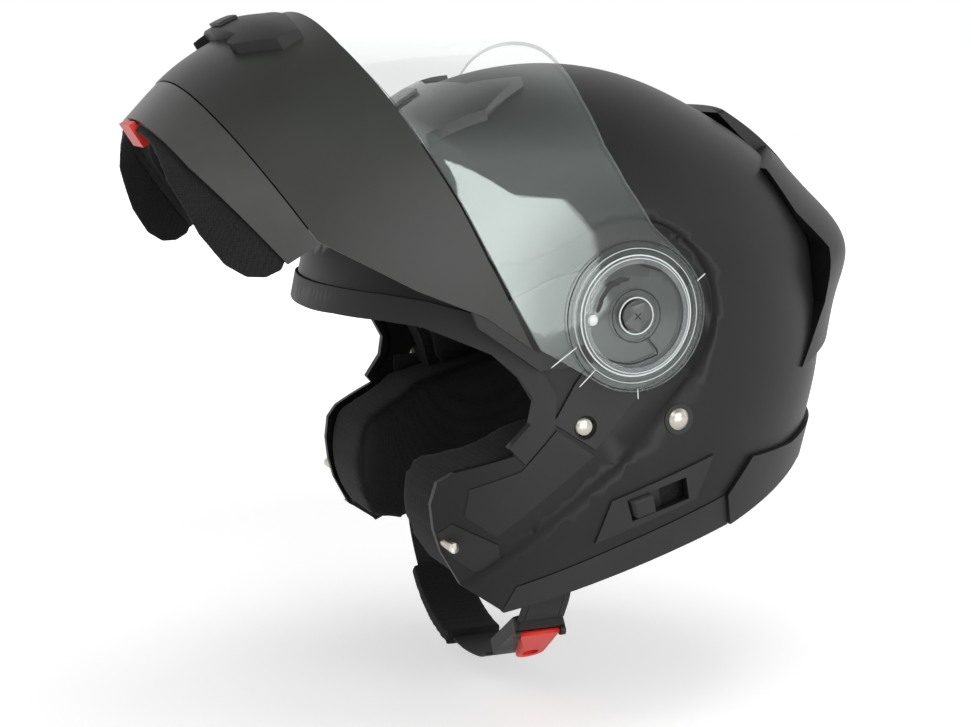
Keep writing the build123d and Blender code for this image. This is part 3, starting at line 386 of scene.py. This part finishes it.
def foamMaterial(name, setup):
    # moulded bead foam: Voronoi cells are the beads
    mat, tree, shader = newMaterial(name)
    cells = objectPattern(tree, "ShaderNodeTexVoronoi", 1 / setup["bead"],
                          feature="DISTANCE_TO_EDGE")
    edge = cells.outputs["Distance"]
    tone = toneRamp(tree, edge, setup["colour"], setup["tones"], setup["toneSpan"])
    tree.links.new(tone, shader.inputs["Base Color"])
    softFinish(shader, setup)
    raiseBump(tree, edge, shader, setup["bump"], setup["bumpHeight"])
    return mat


def clearMaterial(name, tint, alpha, rough, mirror):
    # clear moulded plastic: the distance from the pivot line, the length of (y, z), sets how much
    # of it is seen, and a slow haze sets its roughness
    mat, tree, shader = newMaterial(name)
    coords = node(tree, "ShaderNodeTexCoord")
    flat = node(tree, "ShaderNodeVectorMath", operation="MULTIPLY")
    flat.inputs[1].default_value = (0, 1, 1)
    tree.links.new(coords.outputs["Object"], flat.inputs[0])
    reach = node(tree, "ShaderNodeVectorMath", operation="LENGTH")
    tree.links.new(flat.outputs[0], reach.inputs[0])
    fade = node(tree, "ShaderNodeMapRange", interpolation_type="SMOOTHSTEP")
    setRange(fade, clearDetail["fade"], alpha[::-1])
    tree.links.new(reach.outputs["Value"], fade.inputs["Value"])
    tree.links.new(fade.outputs[0], shader.inputs["Alpha"])
    haze = objectPattern(tree, "ShaderNodeTexNoise", clearDetail["hazeScale"], detail=2)
    spreadRough(tree, haze.outputs["Fac"], shader, rough, rough + clearDetail["hazeSpan"])
    shader.inputs["Base Color"].default_value = tint + (1,)
    shader.inputs["IOR"].default_value = clearDetail["index"]
    shader.inputs["Metallic"].default_value = mirror
    mat.surface_render_method = "BLENDED"
    return mat


def steelMaterial(name, setup):
    # machined steel: a fine noise in the roughness
    mat, tree, shader = newMaterial(name)
    speck = objectPattern(tree, "ShaderNodeTexNoise", setup["speckScale"])
    spreadRough(tree, speck.outputs["Fac"], shader, *setup["rough"])
    shader.inputs["Base Color"].default_value = setup["colour"]
    shader.inputs["Metallic"].default_value = 1
    return mat


for finishName, values in finishes.items():
    made[finishName] = grainMaterial(finishName, **values)
for finishName, values in clears.items():
    made[finishName] = clearMaterial(finishName, **values)
made["liningKnit"] = knitMaterial("liningKnit", knit)
made["webbing"] = webbingMaterial("webbing", tapeWeave)
made["beadFoam"] = foamMaterial("beadFoam", foam)
made["steel"] = steelMaterial("steel", steel)
print("materials ready:", len(made))

# rigid pieces: smooth copies of the CAD nodes
dressing = {
    # the chin shell wears the lighter copy of the shell paint, which is painted light
    "outer_shell": "shellMatte", "rear_spoiler": "shellMatte", "chin_shell": "chinLitMatte",
    "chin_trim": "trimSatin", "edge_trim": "mouldedBlack", "neck_diffuser": "mouldedBlack",
    "base_plate_left": "mouldedBlack", "base_plate_right": "mouldedBlack",
    "jaw_cover_left": "jawBlack", "jaw_cover_right": "jawBlack",
    "striker_cover_left": "mouldedBlack", "striker_cover_right": "mouldedBlack",
    "exhaust_vent": "mouldedBlack", "lever_bezel": "mouldedBlack", "sun_lever": "mouldedBlack",
    "chin_arm_left": "mouldedBlack", "chin_arm_right": "mouldedBlack",
    "chin_vent_housing": "mouldedBlack", "chin_vent_slider": "mouldedBlack",
    "top_vent_slider": "glossBlack", "rivet_washers": "mouldedBlack",
    "buckle_body": "mouldedBlack", "buckle_tongue": "mouldedBlack",
    "latch_hook_left": "mouldedBlack", "latch_hook_right": "mouldedBlack",
    "breath_guard": "softRubber", "brow_vent_base": "glossBlack",
    "brow_gasket": "softRubber", "chin_rim_gasket": "softRubber",
    "eps_liner": "beadFoam", "chin_liner": "beadFoam",
    "visor_lens": "clearLens", "visor_ring_left": "paleRing", "visor_ring_right": "paleRing",
    "sun_visor": "sunTint", "sun_pivot_pins": "steel", "strap_rivets": "steel",
    "strap_anchors": "steel", "striker_pin_left": "steel", "striker_pin_right": "steel",
    "latch_pins": "steel", "pivot_screw_left": "discGrey", "pivot_screw_right": "discGrey",
    "release_button": "redPlastic", "buckle_lever": "redPlastic",
}
# gaps in metres, creases in degrees: a sharper edge than its crease stays sharp
meshing = {
    "cadGap": 0.00001, "surfaceGap": 0.0000005,
    "cadCrease": 28, "surfaceCrease": 40, "joinedCrease": 50, "stitchCrease": 60,
}
# the dome that the lens follows; a face below the share "across" of its direction is rim
lensDome = {"halfWidth": 0.125, "radius": 0.150, "power": 2.3, "across": 0.55}
slotOf = {entry["node"]: entry["material_slot"] for entry in frame["record"]["subparts"]}
bodyOf = {n: b for b, members in frame["record"]["behaviour"]["bodies"].items() for n in members}


def sealed(mesh, gap, turnOut):
    # corners closer than the gap are joined; turnOut points the faces of a closed mesh outwards
    bm = bmesh.new()
    bm.from_mesh(mesh)
    bmesh.ops.remove_doubles(bm, verts=bm.verts, dist=gap)
    if turnOut:
        bmesh.ops.recalc_face_normals(bm, faces=bm.faces)
    bm.to_mesh(mesh)
    bm.free()


def mergedCopy(nodeName, newName):
    # a copy of a CAD node whose loose triangles are joined at their corners
    mesh = frame["nodes"][nodeName].data.copy()
    mesh.name = newName
    sealed(mesh, meshing["cadGap"], False)
    mesh.materials.clear()
    return linked(bpy.data.objects.new(newName, mesh))


def smoothShade(piece, angle):
    mesh = piece.data
    mesh.polygons.foreach_set("use_smooth", np.ones(len(mesh.polygons), bool))
    mesh.set_sharp_from_angle(angle=radians(angle))


def dress(piece, nodeName, finish):
    piece.data.materials.append(made[finish])
    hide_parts(nodeName)
    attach(piece, bodyOf[nodeName])


def rimFaces(mesh, setup):
    # the faces that stand across the dome |x / w|^p + (r / R)^p = 1, r from the pivot line:
    # their normals are far from the dome's gradient
    count = len(mesh.polygons)
    centre, normal = np.empty(3 * count), np.empty(3 * count)
    mesh.polygons.foreach_get("center", centre)
    mesh.polygons.foreach_get("normal", normal)
    x, y, z = centre.reshape(-1, 3).T
    r = np.hypot(y, z) + 1e-9
    w, far, p = setup["halfWidth"], setup["radius"], setup["power"]
    slopeX = np.sign(x) * (np.abs(x) / w) ** (p - 1) / w
    slopeR = (r / far) ** (p - 1) / far
    slope = np.stack([slopeX, slopeR * y / r, slopeR * z / r], 1)
    slope /= np.linalg.norm(slope, axis=1)[:, None]
    return np.abs((slope * normal.reshape(-1, 3)).sum(1)) < setup["across"]


for nodeName, finish in dressing.items():
    skin = mergedCopy(nodeName, nodeName + "Skin")
    smoothShade(skin, meshing["cadCrease"])
    dress(skin, nodeName, finish)
    if nodeName == "visor_lens":
        # the rim faces get the painted highlight of the lens edge
        skin.data.materials.append(made["lensRimHighlight"])
        rim = rimFaces(skin.data, lensDome).astype(np.int32)
        skin.data.polygons.foreach_set("material_index", rim)
print("rigid pieces dressed:", len(dressing))


# surfaces worked out with numpy
def gridPiece(name, points, closeRows=False, closeColumns=False, capEnds=False, flip=False):
    # points[i, j] is a grid of places; each cell is a quad, and the ends may be capped
    rows, columns = points.shape[:2]
    index = np.arange(rows * columns).reshape(rows, columns)
    i = index if closeRows else index[:-1]
    nextRow = np.roll(index, -1, 0) if closeRows else index[1:]
    if closeColumns:
        quads = np.stack([i, np.roll(i, -1, 1), np.roll(nextRow, -1, 1), nextRow], -1)
    else:
        quads = np.stack([i[:, :-1], i[:, 1:], nextRow[:, 1:], nextRow[:, :-1]], -1)
    faces = quads.reshape(-1, 4)
    faces = (faces[:, ::-1] if flip else faces).tolist()
    if capEnds:
        first, last = index[0].tolist(), index[-1].tolist()
        faces += [first if flip else first[::-1], last[::-1] if flip else last]
    mesh = bpy.data.meshes.new(name)
    mesh.from_pydata(points.reshape(-1, 3).tolist(), [], faces)
    mesh.update()
    piece = linked(bpy.data.objects.new(name, mesh))
    smoothShade(piece, meshing["surfaceCrease"])
    return piece


def smoothPath(spots, count, samples=40):
    # Catmull-Rom curve through the spots, 0.5 (2b + (c - a) u + (2a - 5b + 4c - d) u^2
    # + (3b - a - 3c + d) u^3) from b to c, and then places on it at equal steps of length
    spots = np.asarray(spots, float)
    longer = np.vstack([2 * spots[0] - spots[1], spots, 2 * spots[-1] - spots[-2]])
    t = np.linspace(0, len(spots) - 1 - 1e-9, samples * len(spots))
    k, u = t.astype(int), (t % 1)[:, None]
    a, b, c, d = longer[k], longer[k + 1], longer[k + 2], longer[k + 3]
    curve = 0.5 * (2 * b + (c - a) * u + (2 * a - 5 * b + 4 * c - d) * u**2
                   + (3 * b - a - 3 * c + d) * u**3)
    steps = np.r_[0, np.cumsum(np.linalg.norm(np.diff(curve, axis=0), axis=1))]
    even = np.linspace(0, steps[-1], count)
    return np.stack([np.interp(even, steps, column) for column in curve.T], 1), even


def finishPiece(piece, finish, body):
    piece.data.materials.append(made[finish])
    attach(piece, body)


# straps: woven tape along each strap's line of (x, z) points in mm, in the plane y = middle
straps = {
    "middle": -0.028, "width": 0.025, "wall": 0.0020, "selvedge": 0.25, "selvedgePower": 12,
    "roundAcross": 0.2, "roundOver": 0.5, "rows": 160, "columns": 48,
    "left": [(107.3, -50.0), (106.8, -61.0), (98.0, -95.2), (90.1, -122.0), (84.1, -142.7),
             (76.8, -155.6)],
    "right": [(-107.3, -50.0), (-106.8, -61.0), (-98.0, -95.2), (-90.1, -122.0), (-77.4, -152.5),
              (-54.5, -177.5), (-26.6, -189.1), (0.0, -192.2), (24.2, -189.7), (34.7, -185.8)],
}
stitches = {
    "left": (130, 158), "right": (18, 44),   # first and last row of the tape that is sewn
    "step": 2, "across": (-0.009, 0.009), "halfLength": 0.0012, "radius": 0.0003,
    "seat": 0.75,                            # share of the half wall below the thread's middle
    "rows": 6, "columns": 8,
}


def webRibbon(name, spots, setup):
    # the angle v runs round a flat oval: across the tape y = w/2 sgn(cos v) |cos v|^a, and its
    # thickness is t/2 sgn(sin v) |sin v|^b, a little more at the selvedges
    line, length = smoothPath(np.array(spots) / 1000, setup["rows"])
    along = np.gradient(line, axis=0)
    along /= np.linalg.norm(along, axis=1)[:, None]
    outward = np.stack([-along[:, 1], along[:, 0]], 1)
    v = np.linspace(0, 2 * np.pi, setup["columns"], endpoint=False)
    half = setup["width"] / 2
    y = half * np.sign(np.cos(v)) * np.abs(np.cos(v)) ** setup["roundAcross"]
    edge = (np.abs(y) / half) ** setup["selvedgePower"]
    t = setup["wall"] / 2 * np.sign(np.sin(v)) * np.abs(np.sin(v)) ** setup["roundOver"]
    t = t * (1 - setup["selvedge"] + setup["selvedge"] * edge)
    x = line[:, 0, None] + outward[:, 0, None] * t
    z = line[:, 1, None] + outward[:, 1, None] * t
    points = np.stack([x, np.broadcast_to(setup["middle"] + y, x.shape), z], -1)
    piece = gridPiece(name, points, closeColumns=True, capEnds=True, flip=True)
    mesh = piece.data
    corner = np.empty(len(mesh.loops), np.int32)
    mesh.loops.foreach_get("vertex_index", corner)
    uv = np.stack([length[corner // setup["columns"]], y[corner % setup["columns"]]], 1)
    layer = mesh.uv_layers.new(name="weave")
    layer.data.foreach_set("uv", uv.ravel())
    return piece, line, outward


def stitchRows(name, line, outward, side, tape, setup):
    # each stitch is a small egg, (a cos u, b sin u cos v, b sin u sin v), that is repeated along
    # the tape's line on both faces, in two rows
    where = np.arange(*setup[side], setup["step"])
    rows, columns = setup["rows"], setup["columns"]
    u, v = np.meshgrid(np.linspace(0, np.pi, rows),
                       np.linspace(0, 2 * np.pi, columns, endpoint=False), indexing="ij")
    a, b = setup["halfLength"], setup["radius"]
    egg = np.stack([a * np.cos(u), b * np.sin(u) * np.cos(v), b * np.sin(u) * np.sin(v)], -1)
    egg = egg.reshape(-1, 3)
    quads = np.arange(len(egg)).reshape(rows, columns)
    turned = np.roll(quads, -1, 1)
    cells = np.stack([quads[:-1], turned[:-1], turned[1:], quads[1:]], -1).reshape(-1, 4)
    across = np.stack([outward[where, 1], -outward[where, 0]], 1)
    places = []
    for face in (-1, 1):
        seat = line[where] + outward[where] * face * tape["wall"] / 2 * setup["seat"]
        flat = (seat[:, None] + across[:, None] * egg[None, :, :1]
                + outward[where][:, None] * egg[None, :, 2:])
        for row in setup["across"]:
            y = np.broadcast_to(tape["middle"] + row + egg[:, 1], flat.shape[:2])
            places.append(np.stack([flat[..., 0], y, flat[..., 1]], -1))
    places = np.vstack(places)
    faces = cells[None] + len(egg) * np.arange(len(places))[:, None, None]
    mesh = bpy.data.meshes.new(name)
    mesh.from_pydata(places.reshape(-1, 3).tolist(), [], faces.reshape(-1, 4).tolist())
    sealed(mesh, meshing["surfaceGap"], True)
    piece = linked(bpy.data.objects.new(name, mesh))
    smoothShade(piece, meshing["stitchCrease"])
    return piece


for side, nodeName in (("left", "chin_strap_left"), ("right", "chin_strap_right")):
    tape, tapeLine, tapeOut = webRibbon("webbing" + side.capitalize(), straps[side], straps)
    dress(tape, nodeName, "webbing")
    seam = stitchRows("strapStitches" + side.capitalize(), tapeLine, tapeOut, side, straps,
                      stitches)
    finishPiece(seam, "thread", bodyOf[nodeName])
print("straps and stitches ready")

# pivot discs of the visor: moulded rings, grooves and the small pin, in mm (y, z) on the cap; the
# raised rings, ticks and pin carry painted highlights, and the grooves and the screw's cross carry
# painted shade
disc = {
    # radius, half width and what the ring stands on
    "rings": [(28.3, 0.42, "cap"), (26.9, 0.22, "ring"), (31.6, 0.20, "cap"),
              (8.6, 0.40, "cap"), (6.6, 0.28, "cap")],
    "faintRings": [(12.4, 0.25), (35.0, 0.30)],
    "wavySlot": [(-3.6, 17.9), (-9.4, 16.3), (-13.9, 13.9), (-17.2, 9.8), (-18.8, 6.0),
                 (-19.9, 2.3)],
    "wave": 0.35, "waves": 4.5,
    "hook": [(5.9, -10.4), (11.2, -17.3), (8.6, -19.7), (-3.3, -22.5), (-15.8, -19.1),
             (-21.1, -15.0)],
    "gaps": [((3.3, 24.3), (8.6, 23.0), (13.2, 20.8)),
             ((21.4, 21.2), (24.4, 17.4), (26.6, 12.7)),
             ((-27.7, -12.1), (-25.4, -17.0), (-22.4, -20.6))],
    "ticks": [((31.4, 14.8), (36.0, 18.4)), ((1.2, -34.5), (1.6, -39.5)),
              ((-20.5, -24.0), (-29.0, -31.8)), ((-30.0, -12.8), (-43.5, -22.0))],
    "bars": [((-1.7, -1.7), (0, 0), (1.7, 1.7)), ((-1.7, 1.7), (0, 0), (1.7, -1.7))],
    "halfWidth": {"slot": 1.1, "hook": 0.45, "gap": 1.3, "tick": 0.28, "bar": 0.35},
    "ringHeight": 0.35, "grooveHeight": 0.15, "faintHeight": 0.12,
    "pin": {"y": -22.4, "z": -0.9, "radius": 2.6, "height": 1.1, "rows": 14, "columns": 28},
    # places along each kind of bead, and round every bead
    "steps": {"ring": 120, "slot": 90, "gap": 30, "tick": 20, "bar": 12, "round": 12},
}


def ringPath(radius, count):
    # a circle: its places, its directions, and how much of the full section each place has
    a = np.linspace(0, 2 * np.pi, count, endpoint=False)
    line = radius * np.stack([np.cos(a), np.sin(a)], 1) / 1000
    return line, np.stack([-np.sin(a), np.cos(a)], 1), np.ones(count)


def openPath(spots, count, wave=0.0, waves=0.0):
    # a curve through the spots whose section narrows to nothing at both ends as sqrt(1 - u^8);
    # wave sin(2 pi waves s), s from 0 to 1, moves it by its direction with y and z swapped
    line, length = smoothPath(np.array(spots) / 1000, count)
    along = np.gradient(line, axis=0)
    along /= np.linalg.norm(along, axis=1)[:, None]
    slim = np.sqrt(1 - np.linspace(-1, 1, count) ** 8)
    sway = wave / 1000 * np.sin(2 * waves * np.pi * length / length[-1])
    return line + sway[:, None] * along[:, ::-1], along, slim


def beadOn(path, halfWidth, height, level, side, closed=False):
    # a low bead on the plane x = level: the oval section (halfWidth cos v, height sin v)
    # follows the path
    line, along, slim = path
    v = np.linspace(0, 2 * np.pi, disc["steps"]["round"], endpoint=False)
    sideways = np.stack([along[:, 1], -along[:, 0]], 1)
    wide = halfWidth / 1000 * slim[:, None] * np.cos(v)
    x = side * (level + height / 1000 * slim[:, None] * np.sin(v))
    y = line[:, 0, None] + sideways[:, 0, None] * wide
    z = line[:, 1, None] + sideways[:, 1, None] * wide
    piece = gridPiece("bead", np.stack([x, y, z], -1), closeRows=closed, closeColumns=True)
    sealed(piece.data, meshing["surfaceGap"], True)
    return piece


def joined(name, pieces):
    bm = bmesh.new()
    for one in pieces:
        bm.from_mesh(one.data)
        bpy.data.objects.remove(one)
    mesh = bpy.data.meshes.new(name)
    bm.to_mesh(mesh)
    bm.free()
    piece = linked(bpy.data.objects.new(name, mesh))
    smoothShade(piece, meshing["joinedCrease"])
    return piece


def faceDistances(nodeName):
    # how far the inner and the outer face of a disc lie from the middle plane
    return sorted(abs(corner[0]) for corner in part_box(nodeName))


# raised rings and ticks that carry the painted highlight
def discRings(setup, level, top, side):
    steps, high = setup["steps"], setup["ringHeight"]
    base = {"cap": level, "ring": top}
    rings = [beadOn(ringPath(r, steps["ring"]), wide, high, base[under], side, closed=True)
             for r, wide, under in setup["rings"]]
    thin = setup["halfWidth"]["tick"]
    return rings + [beadOn(openPath(spots, steps["tick"]), thin, high, level, side)
                    for spots in setup["ticks"]]


# the grooves, slots and faint rings are low beads painted with the groove shade
def discGrooves(setup, level, side):
    steps, wide, high = setup["steps"], setup["halfWidth"], setup["grooveHeight"]
    slot = openPath(setup["wavySlot"], steps["slot"], setup["wave"], setup["waves"])
    hook = openPath(setup["hook"], steps["slot"])
    grooves = [beadOn(slot, wide["slot"], high, level, side),
               beadOn(hook, wide["hook"], high, level, side)]
    grooves += [beadOn(openPath(spots, steps["gap"]), wide["gap"], high, level, side)
                for spots in setup["gaps"]]
    return grooves + [beadOn(ringPath(r, steps["ring"]), w, setup["faintHeight"], level, side,
                             closed=True) for r, w in setup["faintRings"]]


# the screw's cross is drawn as beads painted with the groove shade
def screwMark(setup, face, side):
    wide, high = setup["halfWidth"]["bar"], setup["faintHeight"]
    return [beadOn(openPath(spots, setup["steps"]["bar"]), wide, high, face, side)
            for spots in setup["bars"]]


def discPin(name, setup, level, side):
    # an egg on the cap: (h cos u, r sin u cos v, r sin u sin v) about the pin's place
    y, z, r, h = (setup[key] / 1000 for key in ("y", "z", "radius", "height"))
    u, v = np.meshgrid(np.linspace(0, np.pi, setup["rows"]),
                       np.linspace(0, 2 * np.pi, setup["columns"], endpoint=False), indexing="ij")
    egg = np.stack([side * (level + h * np.cos(u)), y + r * np.sin(u) * np.cos(v),
                    z + r * np.sin(u) * np.sin(v)], -1)
    pin = gridPiece(name, egg, closeColumns=True)
    sealed(pin.data, meshing["surfaceGap"], True)
    return pin


for label, side in (("Left", 1), ("Right", -1)):
    ringNode, screwNode = "visor_ring_" + label.lower(), "pivot_screw_" + label.lower()
    level, top = faceDistances(ringNode)
    face = faceDistances(screwNode)[1]
    body, slot = bodyOf[ringNode], slotOf[ringNode]
    rings = joined("discRings" + label, discRings(disc, level, top, side))
    # the rings and ticks get the painted highlight
    finishPiece(rings, "beadHighlight", body)
    grooves = joined("discGrooves" + label, discGrooves(disc, level, side))
    finishPiece(grooves, "grooveShade", body)
    cross = joined("screwMark" + label, screwMark(disc, face, side))
    finishPiece(cross, "grooveShade", bodyOf[screwNode])
    pin = discPin("discPin" + label, disc["pin"], level, side)
    finishPiece(pin, "beadHighlight", body)
print("pivot discs marked")

# padded lining, remeshed from its CAD solid and relaxed, so corners round over as foam does
pads = {
    "crown_pad": dict(voxel=0.004, rounds=6),
    "cheek_pad_left": dict(voxel=0.003, rounds=10),
    "cheek_pad_right": dict(voxel=0.003, rounds=10),
    "neck_roll": dict(voxel=0.003, rounds=10),
    "chin_pad_left": dict(voxel=0.002, rounds=5),
    "chin_pad_right": dict(voxel=0.002, rounds=5),
    "strap_pad": dict(voxel=0.0015, rounds=3),
    "chin_curtain_left": dict(voxel=0.0008, rounds=5),
    "chin_curtain_right": dict(voxel=0.0008, rounds=5),
}


def makePad(nodeName, voxel, rounds, share=0.5):
    # share: how far each round moves a corner towards the middle of its neighbours
    piece = mergedCopy(nodeName, nodeName + "Cushion")
    remesh = piece.modifiers.new("remesh", "REMESH")
    remesh.mode, remesh.voxel_size = "VOXEL", voxel
    relax = piece.modifiers.new("relax", "SMOOTH")
    relax.factor, relax.iterations = share, rounds
    bpy.context.view_layer.update()
    graph = bpy.context.evaluated_depsgraph_get()
    baked = bpy.data.meshes.new_from_object(piece.evaluated_get(graph))
    piece.modifiers.clear()
    piece.data = baked
    baked.polygons.foreach_set("use_smooth", np.ones(len(baked.polygons), bool))
    dress(piece, nodeName, "liningKnit")


for nodeName, setup in pads.items():
    makePad(nodeName, **setup)
print("pads ready:", len(pads))
